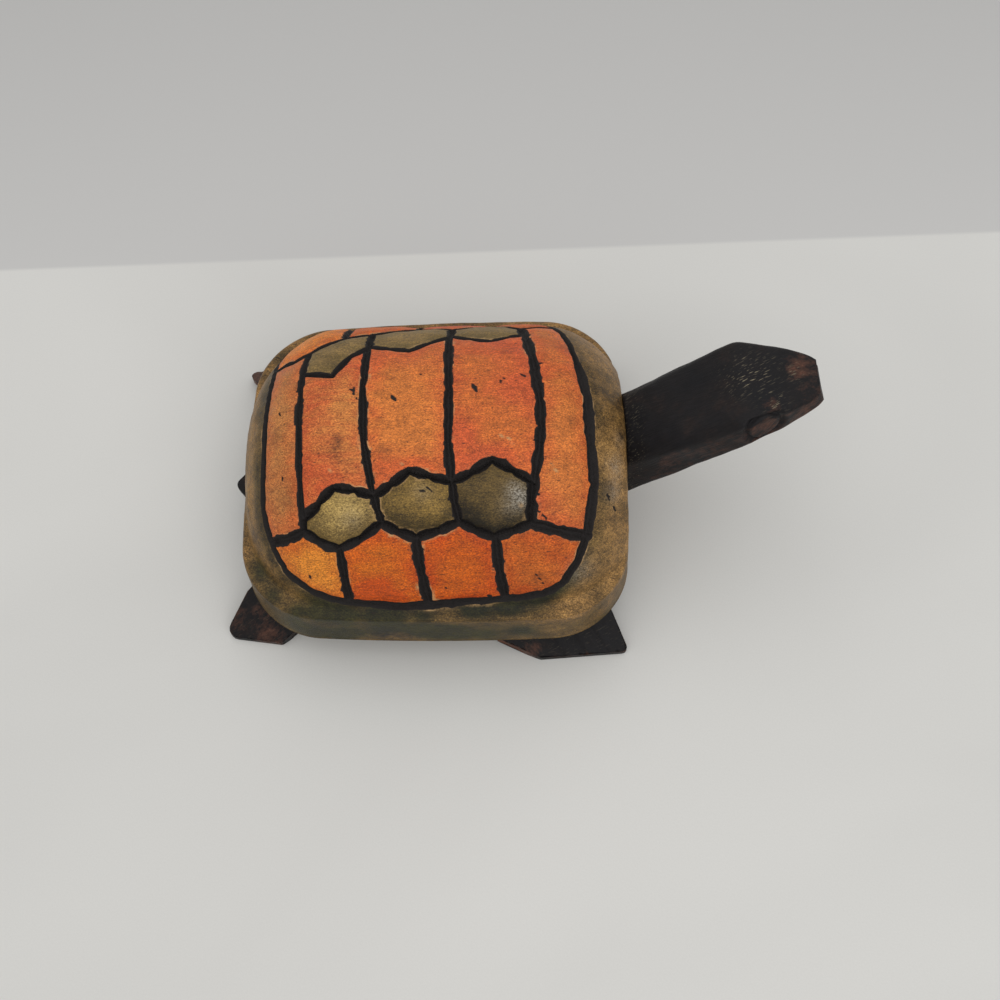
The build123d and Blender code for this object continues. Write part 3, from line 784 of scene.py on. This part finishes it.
def dowel_wood(settings):
    """Turned birch dowel, unfinished and pale. The fibres along it are drawn coarser than real ones."""
    made, tree = new_material("turned_birch")
    fibre = noise_of(tree, object_place(tree), (0.6, 0.6, 6.0))
    stains = [(0.3, settings.birch_dark), (0.7, settings.birch_pale)]
    colour = add_node(tree, "ShaderNodeValToRGB", {"Fac": fibre}, stops=stains).outputs[0]
    inputs = {"Base Color": colour, "Roughness": 0.62, "Normal": raised(tree, fibre, 0.3, 0.1)}
    finish_material(tree, inputs)
    return made


def cotton_cloth(settings):
    """Pressed plain cotton cloth on a table, with the shade of soft folds painted into its colour, and the
    matt painted wall behind it.
    """
    made, tree = new_material("pressed_cotton_cloth")
    place = object_place(tree)
    behind = add_node(tree, "ShaderNodeSeparateXYZ", {0: place}).outputs["Y"]
    edge = settings.wall_distance
    # The folds have no relief: they are painted shade, a slight darkening and lightening of the cloth's
    # colour
    painted_fold_shade = noise_of(tree, place, (190, 150, 150), 2.0, 0.5, 0.8)
    # Threads of 0.2 mm are too fine to show, so the weave is coarser
    weave = noise_of(tree, place, (0.6, 0.6, 0.6), 2.0)
    tones = spread(tree, painted_fold_shade, 0.32, 0.68, 0.96, 1.02), spread(tree, weave, 0.3, 0.7, 0.985, 1.015)
    cloth = toned(tree, tuple(settings.cloth_colour)[:3], *tones)
    # The wall is painted darker away from the cloth's edge, towards its top: painted shade
    wall = toned(tree, tuple(settings.wall_colour)[:3], spread(tree, behind, edge, edge + 0.16, 1.03, 0.9))
    colour = blended(tree, spread(tree, behind, edge - 0.0008, edge + 0.0008), cloth, wall)
    inputs = {"Base Color": colour, "Roughness": 0.92, "Normal": raised(tree, weave, 0.15, 0.1)}
    finish_material(tree, inputs)
    return made


# Settings
def colour_property(name, description, code):
    """A colour setting from its sRGB hex code."""
    return bpy.props.FloatVectorProperty(
        name=name, description=description, default=linear(code), size=4, subtype="COLOR", min=0, max=1
    )


def length_property(name, description, length):
    """A length setting, from mm."""
    return bpy.props.FloatProperty(
        name=name, description=description, default=length * MM, unit="LENGTH", subtype="DISTANCE"
    )


class TurtleShellSettings(bpy.types.PropertyGroup):
    """Sizes and colours of the shell."""

    groove_width: length_property("Groove width", "Width of a knife cut", 2.4)
    groove_depth: length_property("Groove depth", "Depth of a knife cut", 1.7)
    wobble: length_property("Wobble", "How far the knife strays", 0.12)
    groove_paint: colour_property("Groove paint", "Dark paint in the cuts", "#171312")
    pore_colour: colour_property("Pores", "Stain that collected in the pores", "#2a1c16")
    # Also the colour of the painted highlight on the third hexagon
    dust_and_highlight_colour: colour_property("Dust", "Dust and old wax in the pores", "#b4ada0")
    bare_wood: colour_property("Bare wood", "Wood that shows at rubbed lips", "#c8a06c")


class TurtleDarkWoodSettings(bpy.types.PropertyGroup):
    """Colours of the neck, head, flippers and tail, and of the hidden dowels."""

    dark_stain: colour_property("Dark stain", "Where the stain is thickest", "#111013")
    mid_stain: colour_property("Middle stain", "Most of the surface", "#191617")
    thin_stain: colour_property("Thin stain", "Where the stain is thinnest", "#2a201d")
    worn_brown: colour_property("Worn brown", "Wood that shows at worn edges", "#6a4535")
    scratch_pale: colour_property("Scratches", "Fine scratches in the wax", "#8f846c")
    birch_dark: colour_property("Dark birch", "Dark fibres of the dowels", "#b08a58")
    birch_pale: colour_property("Pale birch", "Pale fibres of the dowels", "#d3b382")


class TurtleStageSettings(bpy.types.PropertyGroup):
    """The table, the wall behind it and the light."""

    cloth_colour: colour_property("Cloth", "Colour of the cloth", "#d8d7d3")
    wall_colour: colour_property("Wall colour", "Colour of the wall behind the cloth", "#c5c4c2")
    wall_distance: length_property("Wall distance", "From the turtle's middle to the wall", 111)
    key_lamp: bpy.props.FloatProperty(name="Key lamp", description="Its power", default=1.0, unit="POWER")
    top_lamp: bpy.props.FloatProperty(name="Top lamp", description="Its power", default=1.8, unit="POWER")
    world_strength: bpy.props.FloatProperty(name="World", description="The even light", default=0.69)


# Operators
class TURTLE_OT_shell(bpy.types.Operator):
    """Builds the carved shell"""

    bl_idname = "turtle.shell"
    bl_label = "Shell"

    def execute(self, context):
        settings = context.scene.turtle_shell
        width, depth = settings.groove_width / MM, settings.groove_depth / MM
        strokes = shell_strokes(width, settings.wobble / MM)
        dark_marks, pale_marks = mark_strokes(DARK_MARKS), mark_strokes(PALE_MARKS)
        bm = shell_blank()
        places = np.array([vertex.co for vertex in bm.verts])
        _, gap = nearest_stroke(places, strokes)
        band = [edge for edge in bm.edges if all(gap[vertex.index] < SPLIT_BAND for vertex in edge.verts)]
        bmesh.ops.subdivide_edges(bm, edges=band, cuts=2, use_grid_fill=True)
        piece = new_piece("shell_carved", bm, shell_wood(settings), "shell")
        mesh = piece.data
        places, outward = places_of(mesh), normals_of(mesh)
        share, gap = nearest_stroke(places, strokes)
        dark_share, _ = nearest_stroke(places, dark_marks)
        pale_share, _ = nearest_stroke(places, pale_marks)
        names, fresh, worn = plate_of(places)
        ragged = share + 0.05 * waves(places, 2.0, 5) + 0.06 * waves(places, 6.5, 6)
        sunk = depth * np.clip(1.02 - ragged, 0, 0.8) + 0.35 * np.clip(1 - dark_share, 0, 1)
        # Each plate is rounded down to its cuts, the hexagons most
        hexagon = np.char.startswith(names, "hexagon")
        brim = names == "brim"
        rounding = np.where(hexagon, 1.9, np.where(brim, 0.25, 0.5))
        run_out = np.where(hexagon, 4.2, 2.2)
        pillow = rounding * np.exp(-np.maximum(gap, 0) / run_out)
        uneven = 0.2 * waves(places, 26, 1) + 0.11 * waves(places, 9, 2) + 0.03 * waves(places, 3.5, 3) - 0.36
        upper = ease(places[:, 2], 1.0, 3.0) * np.where(places[:, 2] < BRIM_HEIGHT - 1, 0.4, 1)
        moved = (uneven * upper - sunk - pillow) * (places[:, 2] > 0.9)
        put_places(mesh, places + outward * moved[:, None])
        # Green stain was brushed along the outer line, thickest on the right side and at the rear
        near = np.clip(0.6 - places[:, 1] / 38 - places[:, 0] / 75, 0, 1)
        low = ease(places[:, 2], BRIM_HEIGHT - 0.5, BRIM_HEIGHT - 6)
        green = 0.6 * (np.exp(-(np.maximum(gap - 2.0, 0) / 3.2) ** 2) + 0.8 * low) * near
        green = green + 0.18 * waves(places, 13, 8) + spots_at(places, GREEN_SPOTS)
        green = (np.clip(green, 0, 1) * brim)[:, None]
        stains = zip(("fresh_stain", "worn_stain"), (fresh, worn), PLATE_STAINS["brim_green"])
        for name, stain, code in stains:
            put_colours(mesh, name, stain * (1 - green) + np.array(linear(code)) * green)
        put_value(mesh, "paint", np.maximum(ease(ragged, 1.42, 0.98), 0.85 * ease(dark_share, 1.5, 0.6)))
        lip = np.exp(-(((gap - 0.36) / 0.2) ** 2)) * ease(waves(places, 12, 9), -0.3, 0.9)
        put_value(mesh, "lip", np.maximum(lip, 0.8 * ease(pale_share, 1.3, 0.5)))
        put_value(mesh, "grime", np.clip(spots_at(places, DARK_SPOTS), 0, 1))
        # Pale dust in the pores, and on the third hexagon a painted highlight
        put_value(mesh, "dust", np.clip(spots_at(places, DUST_AND_HIGHLIGHT_SPOTS), 0, 1))
        put_value(mesh, "mottle", np.where(brim, 1.0, 0.48))
        # Each hexagon is painted darker towards its lower, near side. This is painted shade of its dome,
        # added to the real wear of the stain
        inner = 0.5 * ease(gap, 0.5, 6.0) - 0.25
        lower = np.degrees(np.arctan2(places[:, 1], places[:, 2])) + 34
        put_value(mesh, "wear", spots_at(places, WEAR_SPOTS) + inner + hexagon * 0.09 * lower)
        return {"FINISHED"}


def neck_rings():
    """The rings of the neck and head, as lists of places in mm, from the root to the snout."""
    sections = [np.array([*low, *high, half]) for low, high, half in NECK_SECTIONS]
    rows = [
        first + (second - first) * (step / steps)
        for first, second, steps in zip(sections, sections[1:], NECK_STEPS)
        for step in range(steps)
    ]
    rings = []
    for row in (*rows, sections[-1]):
        low, high, half = row[:2], row[2:4], row[4]
        tall = np.linalg.norm(high - low)
        up = (high - low) / tall
        bevel = NECK_BEVEL_SHARE * tall
        top = NECK_TOP_SHARE * half
        corners = [(-half, 0), (half, 0), (top, tall - bevel), (top - bevel, tall)]
        corners += [(-side, rise) for side, rise in corners[:1:-1]]
        ring = []
        for corner, following, count in zip(corners, corners[1:] + corners[:1], NECK_CELLS):
            for step in range(count):
                side, rise = np.array(corner) + (np.array(following) - corner) * (step / count)
                spot = low + up * rise
                ring.append((spot[0], NECK_SIDE + side, spot[1]))
        rings.append(ring)
    rings = np.array(rings)
    # The corners were rounded by sanding
    for _ in range(2):
        rings = (np.roll(rings, 1, 1) + 2 * rings + np.roll(rings, -1, 1)) / 4
    for _ in range(6):
        rings[1:-1] = (rings[:-2] + 2 * rings[1:-1] + rings[2:]) / 4
    return rings


class TURTLE_OT_neck_and_head(bpy.types.Operator):
    """Builds the whittled neck and head"""

    bl_idname = "turtle.neck_and_head"
    bl_label = "Neck and head"

    def execute(self, context):
        bm, _ = tube(neck_rings(), closed=True)
        for face in [face for face in bm.faces if len(face.verts) > 4]:
            bmesh.ops.inset_individual(bm, faces=[face], thickness=NECK_END_INSET)
        bmesh.ops.recalc_face_normals(bm, faces=bm.faces)
        # Finer cells round the eyes
        eye = np.array(EYE_PLACE)
        cells = {
            vertex
            for vertex in bm.verts
            if np.hypot(*(np.array(vertex.co)[::2] - eye)) < EYE_SPLIT
            and abs(vertex.co.y - NECK_SIDE) > FLANK_SPLIT
        }
        around = [edge for edge in bm.edges if cells.issuperset(edge.verts)]
        bmesh.ops.subdivide_edges(bm, edges=around, cuts=2, use_grid_fill=True)
        wood = dark_wood(context.scene.turtle_dark, "black_stained_neck", NECK_GRAIN)
        piece = new_piece("neck_and_head_whittled", bm, wood, "neck_and_head")
        mesh = piece.data
        places, outward = places_of(mesh), normals_of(mesh)
        # The eyes: a ring cut round a low dome
        forward = np.array(EYE_FORWARD)
        drop = np.where(places[:, 1] > NECK_SIDE, EYE_DROP, 0.0)
        beside = np.stack([places[:, 0], places[:, 2] + drop], 1) - eye
        along = beside @ forward / (CHEEK_SLANT * EYE_HALF_LENGTH)
        across = beside @ np.array([-forward[1], forward[0]]) / EYE_HALF_HEIGHT
        reach = np.hypot(along, across)
        facing = ease(np.abs(outward[:, 1]), 0.35, 0.65)
        ring = np.exp(-(((reach - EYE_RING_REACH) / EYE_RING_WIDTH) ** 2)) * facing
        dome = np.clip(1 - reach**2, 0, 1) * facing
        moved = 0.16 * waves(places, 15, 21) + 0.06 * waves(places, 5, 22) - 0.12
        moved = moved - EYE_RING_DEPTH * ring - 0.25 * dome
        root = ease(places[:, 0], 62.4, 65.5)
        put_places(mesh, places + outward * (moved * root)[:, None])
        upward = outward[:, 2] > 0.3

        def spot(x, y, size):
            return np.exp(-(((places[:, 0] - x) ** 2 + (places[:, 1] - y) ** 2) / size**2)) * upward

        low = ease(-outward[:, 2], -0.45, 0.1)
        disc = ease(reach, 1.0, 0.7) * facing
        bare = 0.38 + 0.45 * spot(112.4, 5.4, 3.6) + 0.4 * spot(103.2, -6.6, 3.0) + 0.32 * low + 0.3 * disc
        bare += 0.24 * ease(places[:, 0], 104, 116)
        put_value(mesh, "bare", bare * ease(places[:, 0], 60, 75))
        scuff = 1.1 * spot(98.5, 4.5, 6.5) + spot(104.5, -5.5, 3.0) + 0.7 * spot(112, 4, 3.5)
        put_value(mesh, "scuff", np.clip(scuff + 0.3 * ease(places[:, 0], 69.5, 66), 0, 1))
        return {"FINISHED"}


def plank(outline, radii, cell, top, under, bevel):
    """A thin piece: an outline with rounded corners, in even cells, with its two heights from functions."""
    bm = bmesh.new()
    corners = [bm.verts.new((x, y, 0)) for x, y in outline]
    bm.faces.new(corners)
    for corner, radius in zip(corners, radii):
        if radius:
            ways = [(edge.other_vert(corner).co - corner.co) for edge in corner.link_edges]
            offset = radius / math.tan(ways[0].angle(ways[1]) / 2)
            bmesh.ops.bevel(
                bm, geom=[corner], offset=offset, segments=5, profile=0.5, affect="VERTICES", material=-1
            )
    bmesh.ops.recalc_face_normals(bm, faces=bm.faces)
    for axis in range(2):
        low = min(v.co[axis] for v in bm.verts)
        high = max(v.co[axis] for v in bm.verts)
        for step in range(1, int((high - low) / cell)):
            spot, way = [0, 0, 0], [0, 0, 0]
            spot[axis], way[axis] = low + step * cell, 1
            everything = bm.verts[:] + bm.edges[:] + bm.faces[:]
            bmesh.ops.bisect_plane(bm, geom=everything, dist=0.02, plane_co=spot, plane_no=way)
    lower = bm.verts[:]
    made = bmesh.ops.extrude_face_region(bm, geom=bm.faces[:])["geom"]
    upper = [item for item in made if isinstance(item, bmesh.types.BMVert)]
    for vertex in upper:
        vertex.co.z = top(vertex.co.x, vertex.co.y)
    for vertex in lower:
        vertex.co.z = under(vertex.co.x, vertex.co.y)
    bmesh.ops.recalc_face_normals(bm, faces=bm.faces)
    sharp = [edge for edge in bm.edges if edge.calc_face_angle(0) > math.radians(40)]
    bmesh.ops.bevel(
        bm, geom=sharp, offset=bevel, segments=2, profile=0.5, affect="EDGES", clamp_overlap=True, material=-1
    )
    return bm


class TURTLE_OT_flippers(bpy.types.Operator):
    """Builds the four flippers"""

    bl_idname = "turtle.flippers"
    bl_label = "Flippers"

    def execute(self, context):
        slope = math.tan(SLOPE)
        level_run = (FLIPPER_THICKNESS / math.cos(SLOPE) - FLIPPER_EDGE) / slope
        for name, (shape, side, end, outset) in FLIPPERS.items():
            outline = [(x, side * (y - outset)) for x, y in shape]
            tip_1, tip_2 = (Vector((*corner, 0)) for corner in outline[-2:])
            out = (tip_2 - tip_1).cross(Vector((0, 0, 1))).normalized()
            out = out if out.y * side < 0 else -out
            tip = (tip_1 + tip_2) / 2
            toe_way = (Matrix.Rotation(side * end * TOE_TURN, 3, "Z") @ out) * -TOE_LENGTH
            toes = [tip_1 + (tip_2 - tip_1) * (toe / (TOES + 1)) for toe in range(1, TOES + 1)]

            def inward(x, y):
                return (tip - Vector((x, y, 0))).dot(out)

            def top(x, y):
                height = min(FLIPPER_EDGE + inward(x, y) * slope, STANCE) - STANCE
                cut = 0.0
                for start in toes:
                    offset = Vector((x, y, 0)) - start
                    share = max(-0.1, min(1.0, offset.dot(toe_way) / toe_way.length_squared))
                    away = (offset - toe_way * share).length
                    cut = max(cut, 1 - away / (TOE_HALF_WIDTH * (1.05 - 0.4 * max(share, 0) ** 3)))
                return height - TOE_DEPTH * max(cut, 0) * (height < -0.05)

            def under(x, y):
                return min(max((inward(x, y) - level_run) * slope, 0), STANCE - FLIPPER_ROOT) - STANCE

            radii = [0] * (len(outline) - 2) + TIP_RADII
            bm = plank(outline, radii, FLIPPER_CELL, top, under, FLIPPER_ROUNDING)
            wood = dark_wood(context.scene.turtle_dark, f"black_stained_{name}", tuple(-toe_way))
            piece = new_piece(f"{name}_whittled", bm, wood, name)
            mesh = piece.data
            places, outward = places_of(mesh), normals_of(mesh)
            free = ease(-places[:, 2], 0.4, 2.0) * ease(places[:, 2] + STANCE, 0.05, 0.8)
            moved = (0.10 * waves(places, 9, 31 + end * side) - 0.1) * free
            put_places(mesh, places + outward * moved[:, None])
            level = np.abs(outward[:, 2])
            rim = ease(0.93 - level, 0.0, 0.4) * ease(places[:, 2] + STANCE, 0.0, 0.6)
            corner = places[:, :2] - np.array(outline[-3]) - np.array([5 * end, 0])
            worn = np.exp(-(corner**2).sum(axis=1) / 9.0**2)
            # The rear flippers are browner, and the front ones are rubbed bare at the foot's inner corner
            if end < 0:
                patches = 0.12 + 0.2 * waves(places, 14, 41 + side)
            else:
                foot = places[:, :2] - np.array(outline[-2]) - np.array([-2.5, 2.3 * side])
                patches = 0.5 * np.exp(-(foot**2).sum(axis=1) / 2.8**2) - 0.07
            put_value(mesh, "bare", 0.5 + patches + rim * (0.25 + 0.3 * waves(places, 12, 40) + 1.1 * worn))
            put_value(mesh, "scuff", 0.1 * np.ones(len(places)))
        return {"FINISHED"}


class TURTLE_OT_tail(bpy.types.Operator):
    """Builds the tail"""

    bl_idname = "turtle.tail"
    bl_label = "Tail"

    def execute(self, context):
        def top(x, y):
            return 0.0

        def under(x, y):
            share = min(max((x - TAIL[0][0]) / TAIL_POINT, 0), 1)
            return -TAIL_EDGE - (TAIL_THICKNESS - TAIL_EDGE) * share

        bm = plank(TAIL, TAIL_RADII, TAIL_CELL, top, under, TAIL_ROUNDING)
        wood = dark_wood(context.scene.turtle_dark, "black_stained_tail")
        piece = new_piece("tail_whittled", bm, wood, "tail")
        mesh = piece.data
        put_value(mesh, "bare", np.full(len(mesh.vertices), 0.4))
        put_value(mesh, "scuff", np.zeros(len(mesh.vertices)))
        return {"FINISHED"}


class TURTLE_OT_dowels(bpy.types.Operator):
    """Gives the hidden dowels their wood"""

    bl_idname = "turtle.dowels"
    bl_label = "Dowels"

    def execute(self, context):
        wood = dowel_wood(context.scene.turtle_dark)
        for name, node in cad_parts.items():
            if "dowel" in name:
                node.data.materials.clear()
                node.data.materials.append(wood)
        return {"FINISHED"}


class TURTLE_OT_stage(bpy.types.Operator):
    """Builds the table, the lamps and the camera"""

    bl_idname = "turtle.stage"
    bl_label = "Stage"

    def execute(self, context):
        settings = context.scene.turtle_stage
        bm = bmesh.new()
        bmesh.ops.create_grid(bm, x_segments=2, y_segments=2, size=TABLE_SIZE)
        mesh = bpy.data.meshes.new("table_cloth")
        bm.to_mesh(mesh)
        bm.free()
        mesh.materials.append(cotton_cloth(settings))
        floor = bpy.data.objects.new("table_cloth", mesh)
        floor.rotation_euler.z = math.radians(CAMERA_TURN)
        context.scene.collection.objects.link(floor)
        world = context.scene.world or bpy.data.worlds.new("world")
        context.scene.world = world
        world.use_nodes = True
        world.node_tree.nodes.clear()
        inputs = {"Color": (1.0, 1.0, 1.0, 1.0), "Strength": settings.world_strength}
        light = add_node(world.node_tree, "ShaderNodeBackground", inputs)
        add_node(world.node_tree, "ShaderNodeOutputWorld", {"Surface": light.outputs[0]})
        for name, spot, size in LAMPS:
            data = bpy.data.lights.new(name, "AREA")
            data.shape = "SQUARE"
            data.size = size
            data.energy = getattr(settings, name)
            lamp = bpy.data.objects.new(name, data)
            lamp.location = spot
            lamp.rotation_mode = "QUATERNION"
            lamp.rotation_quaternion = (-Vector(spot)).to_track_quat("-Z", "Y")
            context.scene.collection.objects.link(lamp)
        self.place_camera(context)
        return {"FINISHED"}

    def place_camera(self, context):
        """The photograph's view: from 40 cm, steeply down on the turtle's right side, tilted a little."""
        down, roll, turn = (math.radians(angle) for angle in (CAMERA_DOWN, CAMERA_ROLL, CAMERA_TURN))
        beside, above = ((place - FRAME_SIZE / 2) / CAMERA_FOCAL for place in CAMERA_CENTRE)
        forward = Vector((0, math.cos(down), -math.sin(down)))
        up = Vector((0, math.sin(down), math.cos(down)))
        right = Vector((1, 0, 0))
        across = right * math.cos(roll) + up * math.sin(roll)
        upward = up * math.cos(roll) - right * math.sin(roll)
        spot = -CAMERA_DISTANCE * (forward + across * beside - upward * above)
        spin = Matrix.Rotation(turn, 3, "Z")
        pose = Matrix([spin @ across, spin @ upward, spin @ -forward]).transposed().to_4x4()
        pose.translation = (spin @ spot + Vector((MIDDLE, 0, STANCE))) * MM
        data = bpy.data.cameras.new("camera")
        data.sensor_width = SENSOR
        data.lens = CAMERA_FOCAL / FRAME_SIZE * SENSOR
        data.clip_start = 0.01
        camera = bpy.data.objects.new("camera", data)
        camera.matrix_world = pose
        context.scene.collection.objects.link(camera)
        context.scene.camera = camera


class TURTLE_PT_panel(bpy.types.Panel):
    """Lists the pieces of the turtle"""

    bl_label = "Carved turtle"
    bl_idname = "TURTLE_PT_panel"
    bl_space_type = "VIEW_3D"
    bl_region_type = "UI"
    bl_category = "Turtle"

    def draw(self, context):
        for operator in OPERATORS:
            self.layout.operator(operator.bl_idname)
        for group in (context.scene.turtle_shell, context.scene.turtle_dark, context.scene.turtle_stage):
            for key in group.bl_rna.properties.keys():
                if key not in ("rna_type", "name"):
                    self.layout.prop(group, key)


OPERATORS = (
    TURTLE_OT_stage,
    TURTLE_OT_shell,
    TURTLE_OT_neck_and_head,
    TURTLE_OT_flippers,
    TURTLE_OT_tail,
    TURTLE_OT_dowels,
)
GROUPS = {
    "turtle_shell": TurtleShellSettings,
    "turtle_dark": TurtleDarkWoodSettings,
    "turtle_stage": TurtleStageSettings,
}


def register():
    """Registers the settings, the operators and the panel."""
    for key, group in GROUPS.items():
        bpy.utils.register_class(group)
        setattr(bpy.types.Scene, key, bpy.props.PointerProperty(type=group))
    for made in (*OPERATORS, TURTLE_PT_panel):
        bpy.utils.register_class(made)


def unregister():
    """Takes them away again."""
    for made in (TURTLE_PT_panel, *reversed(OPERATORS)):
        bpy.utils.unregister_class(made)
    for key, group in GROUPS.items():
        delattr(bpy.types.Scene, key)
        bpy.utils.unregister_class(group)


def main():
    """Builds the whole scene."""
    register()
    bpy.context.scene.view_settings.view_transform = "Standard"
    bpy.ops.turtle.stage()
    bpy.ops.turtle.shell()
    bpy.ops.turtle.neck_and_head()
    bpy.ops.turtle.flippers()
    bpy.ops.turtle.tail()
    bpy.ops.turtle.dowels()


if __name__ == "__main__":
    main()
